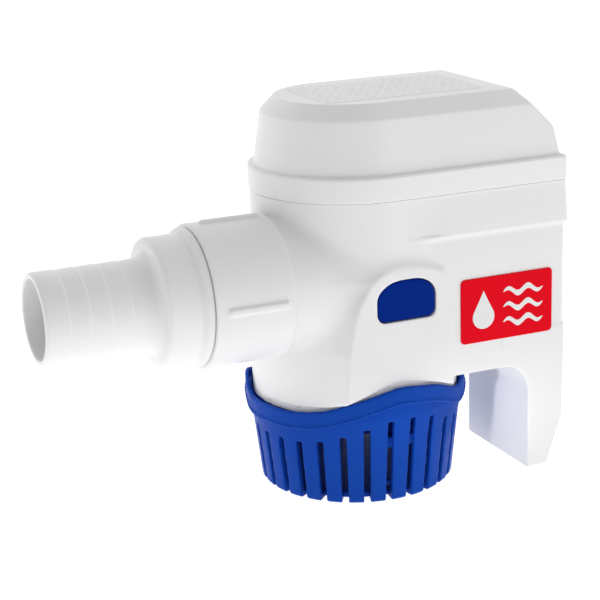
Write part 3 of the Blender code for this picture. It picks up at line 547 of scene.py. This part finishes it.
def housing_skin(x, y, z):
    """Outer form of the housing: round body, D-shaped upper part, panels, boss and leg.

    The upper wall flares out to the panel's face, and a bevel under it faces down.
    """
    r = np.hypot(x, y)
    side = np.abs(y)
    neck = larger(d_shape(x, y, UPPER_HALF, PANEL_RIGHT - 1.5, 1.4), slab(z, 60, UPPER_TOP))
    flare = np.interp(z, (PANEL_TOP, FLARE_TOP), (PANEL_Y - UPPER_HALF, 0.0))
    flare = flare * np.clip((x - 4.0) / 14.0, 0, 1)
    upper = d_shape(x, side - flare, UPPER_HALF, UPPER_RIGHT, 1.4)
    upper = larger(upper, slab(z, UPPER_BOTTOM, UPPER_TOP))
    slope = ((r - BODY_R) * 5 + (z - 73) * 2.1) / 5.42
    body = larger(r - BODY_R, slope, slab(z, BODY_BOTTOM, 81.0))
    skin = melt(smaller(neck, upper), body, 2.5)
    boss = extrude(outline_field(x, z, BOSS), side - PANEL_Y, 1.5)
    skin = melt(skin, boss, np.interp(z, (50.0, 70.0), (14.0, 6.0)))
    ramp = np.clip((BOSS_RIGHT - x) / np.interp(z, (76, 84), (6, 26)), 0, 1)
    fade = 4.0 * ramp * ramp * (3 - 2 * ramp)
    plan = larger(d_shape(x, side + fade, PANEL_Y, PANEL_RIGHT, 1.8), 2.0 - x)
    plan = plan + np.interp(z, (83.7, 84.5), (PANEL_SET_BACK, 0.0))
    panel = extrude(plan, slab(z, BRIDGE_Z, PANEL_TOP), 0.3)
    skin = melt(skin, panel, 0.6)
    leg = extrude(outline_field(x, z, LEG), slab(y, -PANEL_Y, LEG_BACK), 1.0)
    skin = melt(skin, leg, 0.8)
    fairing = larger(rod(y, z, (PORT_Y, PORT_Z), FAIRING_R), x + 8, -FAIRING_END - x)
    skin = melt(skin, fairing, 3.0)
    bevel = np.interp(z, BEVEL_LEVELS, (0.0, BEVEL_DEPTH, 0.0))
    skin = trim(skin, side - PANEL_Y + bevel, 0.4)
    skin = larger(skin, -FAIRING_END - x, BODY_BOTTOM - z - np.where(x > 42, 40.0, 0.0))
    spigot = larger(rod(y, z, (PORT_Y, PORT_Z), SPIGOT_R), slab(x, -SPIGOT_END, -20.0))
    lip = larger(d_shape(x, y, LIP_HALF, LIP_RIGHT, 1.0), slab(z, 95.0, HOUSING[1][2]))
    skin = smaller(skin, spigot, lip)
    rim = rim_height(np.degrees(np.arctan2(y, x)))
    under_rim = larger(slab(r, 34.8, 41.5), z - rim - 0.9)
    return carve(skin, under_rim, 0.8)


def housing_hollows(x, y, z):
    """Water passage, float chamber, latch pockets and the dry space under the cover."""
    r = np.hypot(x, y)
    side = np.abs(y)
    bore = np.interp(z, (72, 76), (32.3, 30.4))
    water = larger(r - bore, slab(z, 15.0, DECK[0]))
    latch_low = larger(slab(x, -9.4, 9.4), 26.2 - side, slab(z, 15.0, 60))
    latch_high = larger(slab(x, -11.4, 16.8), 26.2 - side, slab(z, 55.5, 80))
    water = larger(water, -smaller(latch_low, latch_high))
    port = larger(rod(y, z, (PORT_Y, PORT_Z), PORT_BORE_R), slab(x, -60, -14))
    well = larger(r - 21.6, slab(z, 80, 90))
    chamber = block(x, y, z, (19.5, -32.3, BRIDGE_Z + 2.2), (59.2, 32.3, DECK[0]))
    chamber = larger(chamber, BODY_R - r)
    leg = larger(outline_field(x, z, LEG_BORE), slab(y, -32.4, 4.0))
    vent = larger(rod(x, z, (52, 80), 1.3), slab(y, 30, 40))
    window = larger(outline_field(x, z, WINDOW), slab(side, 30.0, 37.0))
    pocket = larger(outline_field(x, z, POCKET), slab(side, 27.9, 32.8))
    way = block(x, side, z, (-7.4, 27.9, 30.0), (7.4, 32.4, 62.0))
    foot = block(x, side, z, (-7.3, 27.85, 15.0), (7.3, 29.8, 31.0))
    dry = larger(d_shape(x, y, LIP_HALF, LIP_RIGHT, 1.4), slab(z, DECK[1], 96.0))
    mouth = larger(d_shape(x, y, 29.0, 58.4, 1.0), slab(z, 95.0, 110.0))
    gland = larger(rod(y, z, (GLAND[0] + GLAND[1])[1:] / 2, 4.2), slab(x, 55, 67))
    return smaller(water, port, well, chamber, leg, vent, window, pocket, way, foot, dry,
                   mouth, gland)


def housing_field(x, y, z):
    recess = block(x, y, z, (BADGE[0][0] - 0.3, -40.0, BADGE[0][2] - 0.3),
                   (BADGE[1][0] + 0.3, -34.1, BADGE[1][2] + 0.3), 1.6)
    solid = carve(housing_skin(x, y, z), recess)
    solid = carve(solid, housing_hollows(x, y, z))
    for side in (-22.0, 22.0):
        post = larger(rod(x, y, (40.0, side), 3.0), slab(z, 85.0, 92.7))
        hole = larger(rod(x, y, (40.0, side), 1.4), 87.5 - z)
        solid = larger(smaller(solid, post), -hole)
    for angle in (60, 180, 300):
        a = math.radians(angle)
        pilot = rod(x, y, (26.6 * math.cos(a), 26.6 * math.sin(a)), 1.4)
        solid = larger(solid, -larger(pilot, slab(z, 84.6, 88.0)))
    return solid


# ---------------------------------------------------------------- other pieces

def button_field(x, y, z):
    """Latch button with a gently crowned face and its flange inside the wall."""
    side = np.abs(y)
    crown = 0.05 * ((x - 2.6) / 10) ** 2 + 0.1 * ((z - 65.8) / 6) ** 2
    face = extrude(outline_field(x, z, button_outline()),
                   slab(side, 31.9, PANEL_Y - 0.1 - crown), 0.7)
    flange = larger(outline_field(x, z, button_outline(1.2)), slab(side, 31.6, 32.5))
    return smaller(face, flange)


def nut_field(x, y, z):
    """Union nut: a turned shell with four raised grip ribs."""
    along = -x
    r = np.hypot(y - PORT_Y, z - PORT_Z)
    shell = trim(r - NUT_R, along - NUT_FRONT, 0.5)
    shell = trim(shell, NUT_REAR - along, 0.5)
    ribs = smaller(np.abs(y - PORT_Y), np.abs(z - PORT_Z)) - RIB_HALF
    ribs = trim(trim(ribs, r - RIB_R, 0.8), slab(along, *RIB_REACH), 0.8)
    shell = melt(shell, larger(ribs, 20.5 - r), 0.8)
    shell = carve(shell, larger(r - NUT_BORE_R, along - NUT_WALL))
    return carve(shell, r - NUT_EYE_R)


def make_tail():
    """Hose tail with shallow barbs, its stepped collar and the neck inside the nut."""
    mouth = -TAIL[0][0]
    rear = NUT_FRONT + NUT_GAP
    outside = [(TAIL_BORE_R, mouth), (13.9, mouth), (TAIL_R, mouth - 0.9)]
    for h in BARBS:
        outside += [(14.55, h + 0.5), (14.32, h - 0.1)]
    outside += [(TAIL_R, 79.5), (14.8, 76.9), (16.4, 75.5), (19.5, 75.4), (COLLAR_R, 74.4)]
    outside += [(COLLAR_R, 64.4), (COLLAR_FOOT_R, 63.2), (COLLAR_FOOT_R, rear)]
    outside += [(NECK_R, rear), (NECK_R, 59.2), (14.7, 59.2)]
    inside = [(14.7, 65.3), (17.6, 65.5), (17.6, 72.6), (TAIL_BORE_R, 75.0)]
    return turned("hose_tail", eased(outside + inside, 1.0))


def make_cover():
    """Dished cover over its rim band, hollow below."""
    right = COVER[1][0]
    levels = [
        (33.3, right - 0.3, 1.5, SEAM_Z),
        (COVER_HALF, right, 1.6, SEAM_Z + 0.3),
        (COVER_HALF, right, 1.6, LEDGE_Z - 0.6),
        (33.0, right - 0.6, 1.5, LEDGE_Z),
        (31.9, right - 1.3, 1.4, LEDGE_Z),
        (31.6, right - 1.6, 1.4, LEDGE_Z + 0.3),
        (30.2, right - 3.2, 1.4, 115.6),
        (29.0, right - 10.6, 1.6, 123.4),
        (24.8, right - 14.6, 1.6, COVER_TOP - 0.35),
        (24.3, right - 15.2, 1.6, COVER_TOP),
    ]
    hollow = [
        (31.6, 60.6, 1.2, SEAM_Z), (31.6, 60.6, 1.2, 105.3), (29.6, 59.0, 1.2, 105.31),
        (28.2, 57.4, 1.2, 115.0), (27.0, 50.6, 1.4, 121.9), (23.6, 46.8, 1.6, 125.8),
    ]
    outside = eased(levels, 0.8, 6, closed=False)
    return loft("cover_shell", [d_ring(*level) for level in hollow[::-1] + outside])


def plate_outline(box, grow, corner):
    """Rectangle with round corners, grown beyond a flat box, as pairs."""
    steps = 7
    (left, low), (right, high) = box
    left, low, right, high = left - grow, low - grow, right + grow, high + grow
    points = arc(left + corner, high - corner, corner, 90, 180, steps)
    points += arc(left + corner, low + corner, corner, 180, 270, steps)
    points += arc(right - corner, low + corner, corner, 270, 360, steps)
    return points + arc(right - corner, high - corner, corner, 0, 90, steps)


def make_label():
    box = (LABEL[0][:2], LABEL[1][:2])
    low, high = LABEL[0][2], LABEL[1][2]
    rings = []
    for grow, z in ((-0.1, low), (0.0, low + 0.1), (0.0, high - 0.12), (-0.12, high)):
        rings.append([(x, y, z) for x, y in plate_outline(box, grow, 3.0 + grow)])
    return loft("rating_label", rings)


def make_badge():
    box = (BADGE[0][[0, 2]], BADGE[1][[0, 2]])
    rings = []
    for grow, y in ((-0.1, BADGE[1][1]), (0.0, BADGE[1][1] - 0.1),
                    (0.0, BADGE[0][1] + 0.15), (-0.15, BADGE[0][1])):
        rings.append([(x, y, z) for x, z in plate_outline(box, grow, 1.5 + grow)])
    return loft("badge", rings)


def wave_stroke(left, right, height, rise, thick):
    """Closed outline of one wave drawn as a stroke that thins to both ends."""
    upper, lower = [], []
    count = 36
    for i in range(count + 1):
        share = i / count
        x = left + (right - left) * share
        z = height + rise * math.sin(share * 4 * math.pi)
        wide = thick * math.sin(math.pi * share) ** 0.5 + 0.05
        upper.append((x, z + wide))
        lower.append((x, z - wide))
    return upper + lower[::-1]


def drop_outline(cx, cz, size):
    """Water drop with its point at the top."""
    points = arc(cx, cz, size, 150, 390, 25)
    points += [(cx + 0.42 * size, cz + 1.35 * size), (cx, cz + 2.2 * size)]
    return points + [(cx - 0.42 * size, cz + 1.35 * size)]


def make_emblem():
    """Plain white water sign on the badge: a drop over three waves."""
    left, right = BADGE[0][0], BADGE[1][0]
    low, high = BADGE[0][2], BADGE[1][2]
    middle = (left + right) / 2
    shapes = [drop_outline(left + 8.2, low + 8.4, 4.0)]
    for k in range(3):
        shapes.append(wave_stroke(left + 15.5, right - 3.6, low + 5.6 + 5.1 * k, 1.0, 0.95))
    curve = bpy.data.curves.new("badge_emblem", "CURVE")
    curve.dimensions = "2D"
    curve.fill_mode = "BOTH"
    curve.extrude = 0.04 * MM
    for shape in shapes:
        line = curve.splines.new("POLY")
        line.points.add(len(shape) - 1)
        for point, (x, z) in zip(line.points, shape):
            point.co = ((x - middle) * MM, z * MM, 0, 1)
        line.use_cyclic_u = True
    item = bpy.data.objects.new("badge_emblem", curve)
    item.rotation_euler = (math.pi / 2, 0, 0)
    item.location = (middle * MM, (BADGE[0][1] - 0.03) * MM, LIFT[2] * MM)
    bpy.context.collection.objects.link(item)
    return item


def make_gland():
    x0, x1 = GLAND[0][0], GLAND[1][0]
    profile = [(3.2, x1), (5.0, x1), (6.4, x1 - 1.4), (6.4, x1 - 6.4), (3.9, x1 - 6.4),
               (3.9, x0), (2.7, x0), (2.7, x1 - 0.5)]
    return turned("cable_seal", eased(profile, 0.5), 64, "gland")


# ---------------------------------------------------------------- materials

def new_material(name, colour, roughness, metallic=0.0):
    """Principled material and its node tree."""
    material = bpy.data.materials.new(name)
    material.use_nodes = True
    shader = material.node_tree.nodes["Principled BSDF"]
    shader.inputs["Base Color"].default_value = (*colour, 1)
    shader.inputs["Roughness"].default_value = roughness
    shader.inputs["Metallic"].default_value = metallic
    return material, material.node_tree, shader


def noise(tree, scale, detail=4.0, stretch=(1, 1, 1)):
    """Noise over the object's own space, in metres."""
    place = tree.nodes.new("ShaderNodeTexCoord")
    mapping = tree.nodes.new("ShaderNodeMapping")
    mapping.inputs["Scale"].default_value = stretch
    texture = tree.nodes.new("ShaderNodeTexNoise")
    texture.inputs["Scale"].default_value = scale
    texture.inputs["Detail"].default_value = detail
    tree.links.new(place.outputs["Object"], mapping.inputs["Vector"])
    tree.links.new(mapping.outputs["Vector"], texture.inputs["Vector"])
    return texture.outputs["Fac"]


def between(tree, factor, low, high):
    """Number that runs from low to high with a factor."""
    ramp = tree.nodes.new("ShaderNodeMapRange")
    ramp.inputs["From Min"].default_value = 0.3
    ramp.inputs["From Max"].default_value = 0.7
    ramp.inputs["To Min"].default_value = low
    ramp.inputs["To Max"].default_value = high
    tree.links.new(factor, ramp.inputs["Value"])
    return ramp.outputs["Result"]


def tinted(tree, factor, first, second):
    """Colour that runs from first to second with a factor."""
    ramp = tree.nodes.new("ShaderNodeValToRGB")
    ramp.color_ramp.elements[0].position = 0.3
    ramp.color_ramp.elements[1].position = 0.7
    ramp.color_ramp.elements[0].color = (*first, 1)
    ramp.color_ramp.elements[1].color = (*second, 1)
    tree.links.new(factor, ramp.inputs["Fac"])
    return ramp.outputs["Color"]


def bump(tree, shader, height, strength, distance):
    node = tree.nodes.new("ShaderNodeBump")
    node.inputs["Strength"].default_value = strength
    node.inputs["Distance"].default_value = distance
    tree.links.new(height, node.inputs["Height"])
    tree.links.new(node.outputs["Normal"], shader.inputs["Normal"])


def shifted(colour, amount):
    return tuple(max(0.0, min(1.0, c * (1 + amount))) for c in colour)


def moulded_plastic(name, colour, roughness, mottle=0.02, grain=0.25, shine=0.5):
    """Injection-moulded plastic: slight mottle, fine orange peel, uneven gloss."""
    material, tree, shader = new_material(name, colour, roughness)
    shader.inputs["IOR"].default_value = 1.5
    shader.inputs["Specular IOR Level"].default_value = shine
    cloud = noise(tree, 60)
    colours = tinted(tree, cloud, shifted(colour, -mottle), shifted(colour, mottle))
    tree.links.new(colours, shader.inputs["Base Color"])
    gloss = noise(tree, 350, 2)
    tree.links.new(between(tree, gloss, roughness * 0.88, roughness * 1.12),
                   shader.inputs["Roughness"])
    bump(tree, shader, noise(tree, 900, 3), grain, 0.00002)
    return material


def metal(name, colour, roughness, stretch=(1, 1, 1), grain=0.3):
    """Bare metal with brushed or cast variation."""
    material, tree, shader = new_material(name, colour, roughness, 1.0)
    streaks = noise(tree, 500, 5, stretch)
    colours = tinted(tree, streaks, shifted(colour, -0.12), shifted(colour, 0.08))
    tree.links.new(colours, shader.inputs["Base Color"])
    tree.links.new(between(tree, streaks, roughness * 0.8, roughness * 1.3),
                   shader.inputs["Roughness"])
    bump(tree, shader, streaks, grain, 0.00003)
    return material


def rough_solid(name, colour, roughness, scale, grain=0.5):
    """Rubber, ferrite, carbon: a matt body with a grain."""
    material, tree, shader = new_material(name, colour, roughness)
    cloud = noise(tree, scale, 6)
    colours = tinted(tree, cloud, shifted(colour, -0.2), shifted(colour, 0.25))
    tree.links.new(colours, shader.inputs["Base Color"])
    tree.links.new(between(tree, cloud, roughness * 0.9, roughness * 1.08),
                   shader.inputs["Roughness"])
    bump(tree, shader, cloud, grain, 0.00005)
    return material


def wire_winding():
    """Lacquered copper wire, turn beside turn."""
    material, tree, shader = new_material("copper_wire", (0.62, 0.22, 0.09), 0.3, 0.9)
    place = tree.nodes.new("ShaderNodeTexCoord")
    wave = tree.nodes.new("ShaderNodeTexWave")
    wave.bands_direction = "Z"
    wave.inputs["Scale"].default_value = 700
    wave.inputs["Distortion"].default_value = 1.5
    tree.links.new(place.outputs["Object"], wave.inputs["Vector"])
    colours = tinted(tree, wave.outputs["Fac"], (0.3, 0.08, 0.03), (0.7, 0.27, 0.11))
    tree.links.new(colours, shader.inputs["Base Color"])
    bump(tree, shader, wave.outputs["Fac"], 0.6, 0.0002)
    return material


def circuit_board():
    """Green board with lighter copper tracks under the lacquer."""
    material, tree, shader = new_material("board_green", (0.01, 0.12, 0.05), 0.35)
    place = tree.nodes.new("ShaderNodeTexCoord")
    tracks = tree.nodes.new("ShaderNodeTexBrick")
    tracks.inputs["Scale"].default_value = 160
    tracks.inputs["Mortar Size"].default_value = 0.04
    tracks.inputs["Color1"].default_value = (0.010, 0.11, 0.045, 1)
    tracks.inputs["Color2"].default_value = (0.012, 0.14, 0.055, 1)
    tracks.inputs["Mortar"].default_value = (0.05, 0.26, 0.10, 1)
    tree.links.new(place.outputs["Object"], tracks.inputs["Vector"])
    tree.links.new(tracks.outputs["Color"], shader.inputs["Base Color"])
    bump(tree, shader, tracks.outputs["Fac"], 0.2, 0.00005)
    return material


def printed_film():
    """Pale label with rows of plain grey bars and no lettering."""
    material, tree, shader = new_material("label_print", (0.8, 0.8, 0.8), 0.45)
    place = tree.nodes.new("ShaderNodeTexCoord")
    mapping = tree.nodes.new("ShaderNodeMapping")
    mapping.inputs["Rotation"].default_value = (0, 0, math.radians(90))
    rows = tree.nodes.new("ShaderNodeTexBrick")
    rows.offset = 0.37
    rows.inputs["Scale"].default_value = 200
    rows.inputs["Brick Width"].default_value = 1.1
    rows.inputs["Row Height"].default_value = 0.34
    rows.inputs["Mortar Size"].default_value = 0.11
    rows.inputs["Color1"].default_value = (0.70, 0.70, 0.72, 1)
    rows.inputs["Color2"].default_value = (0.80, 0.80, 0.82, 1)
    rows.inputs["Mortar"].default_value = (0.90, 0.90, 0.905, 1)
    tree.links.new(place.outputs["Object"], mapping.inputs["Vector"])
    tree.links.new(mapping.outputs["Vector"], rows.inputs["Vector"])
    tree.links.new(rows.outputs["Color"], shader.inputs["Base Color"])
    gloss = noise(tree, 300, 3)
    tree.links.new(between(tree, gloss, 0.4, 0.5), shader.inputs["Roughness"])
    bump(tree, shader, rows.outputs["Fac"], 0.05, 0.00002)
    return material


def clear_glass():
    """Reed switch's glass tube, faintly green and streaked."""
    material, tree, shader = new_material("switch_glass", (0.85, 0.93, 0.88), 0.08)
    shader.inputs["Transmission Weight"].default_value = 0.9
    streaks = noise(tree, 400, 3)
    colours = tinted(tree, streaks, (0.80, 0.90, 0.84), (0.92, 0.97, 0.94))
    tree.links.new(colours, shader.inputs["Base Color"])
    tree.links.new(between(tree, streaks, 0.05, 0.14), shader.inputs["Roughness"])
    return material


# ---------------------------------------------------------------- making

WHITE = moulded_plastic("white_abs", (0.88, 0.88, 0.885), 0.36, 0.01)
BLUE = moulded_plastic("strainer_blue", (0.006, 0.062, 0.41), 0.40, 0.05, shine=0.05)
NAVY = moulded_plastic("button_navy", (0.001, 0.022, 0.24), 0.36, 0.05, shine=0.02)
RED = moulded_plastic("badge_red", (0.83, 0.003, 0.014), 0.38, 0.02, 0.1, shine=0.03)
INK = moulded_plastic("badge_white", (0.85, 0.85, 0.85), 0.35, 0.01, 0.1)
GREY = moulded_plastic("grey_plastic", (0.30, 0.31, 0.33), 0.45, 0.05)
INNER_WHITE = moulded_plastic("inner_white", (0.72, 0.73, 0.74), 0.42, 0.03)
RUBBER = rough_solid("black_rubber", (0.02, 0.02, 0.022), 0.62, 700)
FERRITE = rough_solid("ferrite", (0.055, 0.05, 0.05), 0.7, 900, 0.7)
CARBON = rough_solid("carbon", (0.03, 0.03, 0.032), 0.5, 800, 0.4)
ZINC = metal("zinc_steel", (0.62, 0.62, 0.60), 0.34, (1, 1, 0.2))
STEEL = metal("bright_steel", (0.66, 0.66, 0.67), 0.22, (0.2, 0.2, 1))
BRONZE = metal("bronze", (0.55, 0.36, 0.16), 0.36)
COPPER = metal("copper", (0.80, 0.36, 0.20), 0.28, (1, 1, 0.1))
LAMINATION = metal("core_steel", (0.30, 0.30, 0.31), 0.42, (0.05, 0.05, 6), 0.8)

FINISHES = {
    "cover_gasket": RUBBER, "canister_seal": RUBBER, "shaft_seal": RUBBER,
    "tail_seal_ring": RUBBER, "check_flap": RUBBER,
    "magnet_left": FERRITE, "magnet_right": FERRITE, "float_magnet": FERRITE,
    "brush_left": CARBON, "brush_right": CARBON,
    "canister_screw_1": STEEL, "canister_screw_2": STEEL, "canister_screw_3": STEEL,
    "board_screw_front": STEEL, "board_screw_rear": STEEL, "shaft": STEEL, "flap_pin": STEEL,
    "motor_can": ZINC, "armature_core": LAMINATION, "commutator": COPPER,
    "lower_bearing": BRONZE, "upper_bearing": BRONZE,
    "windings": wire_winding(), "circuit_board": circuit_board(), "reed_switch": clear_glass(),
    "impeller": NAVY, "leg_grille": INNER_WHITE,
    "motor_canister": INNER_WHITE, "motor_end_cap": INNER_WHITE, "gland_nut": INNER_WHITE,
    "float": GREY, "check_valve_seat": GREY,
}


def finish_frame_nodes():
    for name, material in FINISHES.items():
        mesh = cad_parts[name].data
        mesh.materials.clear()
        mesh.materials.append(material)


def settle_piece(item, material, body, slot, *nodes):
    """Give a new piece its finish, its body and the CAD nodes that it stands for."""
    item.data.materials.append(material)
    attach(item, body)
    if nodes:
        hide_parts(*nodes)


def make_moulded():
    """Pieces that are distance fields: name, field, finish, body, slot, CAD node and pitch."""
    pieces = (
        ("pump_housing", housing_field, WHITE, "pump", "white_plastic", "housing", 0.7),
        ("strainer_basket", strainer_field, BLUE, "strainer", "strainer_blue", "strainer", 0.6),
        ("intake_cup", intake_field, NAVY, "pump", "impeller_plastic", "intake_plate", 0.7),
        ("ribbed_nut", nut_field, WHITE, "nut", "white_plastic", "union_nut", 0.5),
        ("button_front", button_field, NAVY, "latch_front", "button_navy",
         "latch_button_front", 0.3),
        ("button_rear", button_field, NAVY, "latch_rear", "button_navy",
         "latch_button_rear", 0.3),
    )
    for name, field, material, body, slot, node, pitch in pieces:
        low, high = span(node)
        settle_piece(moulded(name, field, low - 0.1, high + 0.1, pitch), material, body, slot,
                     node)


def make_pieces():
    make_moulded()
    settle_piece(make_cover(), WHITE, "pump", "white_plastic", "top_cover")
    settle_piece(make_tail(), WHITE, "tail", "white_plastic", "discharge_tail")
    settle_piece(make_label(), printed_film(), "pump", "label_film", "cover_label")
    settle_piece(make_badge(), RED, "pump", "badge_red", "badge_plate")
    settle_piece(make_emblem(), INK, "pump", "badge_red")
    settle_piece(make_gland(), RUBBER, "pump", "rubber", "cable_gland")


# ---------------------------------------------------------------- stage

AZIMUTH = math.radians(-23.26)
PITCH = math.radians(16.28)
ROLL = math.radians(-1.87)
LENS = 100.2
CAMERA_AT = Vector((-228.5, -486.7, 217.3)) * MM


def make_camera():
    forward = Vector((-math.sin(AZIMUTH) * math.cos(PITCH), math.cos(AZIMUTH) * math.cos(PITCH),
                      -math.sin(PITCH)))
    level = Vector((math.cos(AZIMUTH), math.sin(AZIMUTH), 0))
    above = level.cross(forward)
    right = level * math.cos(ROLL) + above * math.sin(ROLL)
    up = right.cross(forward)
    data = bpy.data.cameras.new("camera")
    data.lens = LENS
    data.sensor_width = 36.0
    data.clip_start = 0.01
    camera = bpy.data.objects.new("camera", data)
    turn = Matrix((right, up, -forward)).transposed().to_4x4()
    camera.matrix_world = Matrix.Translation(CAMERA_AT) @ turn
    bpy.context.collection.objects.link(camera)
    bpy.context.scene.camera = camera


def area_light(name, place, aim, size, power, spread=180):
    data = bpy.data.lights.new(name, "AREA")
    data.shape = "DISK"
    data.size = size
    data.energy = power
    data.spread = math.radians(spread)
    light = bpy.data.objects.new(name, data)
    light.location = place
    light.rotation_euler = (Vector(aim) - Vector(place)).to_track_quat("-Z", "Y").to_euler()
    bpy.context.collection.objects.link(light)


def studio_sky():
    """White studio: bright behind and at the sides, dimmer above the camera's side."""
    world = bpy.data.worlds.new("studio")
    world.use_nodes = True
    tree = world.node_tree
    sky = tree.nodes["Background"]
    way = tree.nodes.new("ShaderNodeTexCoord")
    facing = tree.nodes.new("ShaderNodeVectorMath")
    facing.operation = "DOT_PRODUCT"
    facing.inputs[1].default_value = Vector((-0.35, -0.85, 0.35)).normalized()
    dim = tree.nodes.new("ShaderNodeMapRange")
    dim.interpolation_type = "SMOOTHSTEP"
    dim.inputs["From Min"].default_value = -0.3
    dim.inputs["From Max"].default_value = 0.8
    dim.inputs["To Min"].default_value = 1.08
    dim.inputs["To Max"].default_value = 0.39
    tree.links.new(way.outputs["Generated"], facing.inputs[0])
    tree.links.new(facing.outputs["Value"], dim.inputs["Value"])
    tree.links.new(dim.outputs["Result"], sky.inputs["Strength"])
    sky.inputs["Color"].default_value = (1, 1, 1, 1)
    bpy.context.scene.world = world


def make_stage():
    half = 6.0
    floor = mesh_object("floor", [(x / MM, y / MM, BASE_Z) for x, y in (
        (-half, -half), (half, -half), (half, half), (-half, half))], [(0, 1, 2, 3)])
    material, tree, shader = new_material("floor_white", (0.25, 0.25, 0.25), 0.6)
    shade = tinted(tree, noise(tree, 3), (0.24, 0.24, 0.24), (0.26, 0.26, 0.26))
    tree.links.new(shade, shader.inputs["Base Color"])
    shader.inputs["Emission Color"].default_value = (1, 1, 1, 1)
    shader.inputs["Emission Strength"].default_value = 0.98
    floor.data.materials.append(material)
    studio_sky()
    area_light("front_right", (0.30, -0.42, 0.10), (0.05, 0, 0.06), 0.35, 0.26)
    area_light("leg_fill", (-0.25, -0.195, 0.03), (0.052, -0.02, 0.022), 0.03, 0.0017, 9)
    bpy.context.scene.view_settings.view_transform = "Standard"


make_camera()
make_stage()
finish_frame_nodes()
make_pieces()
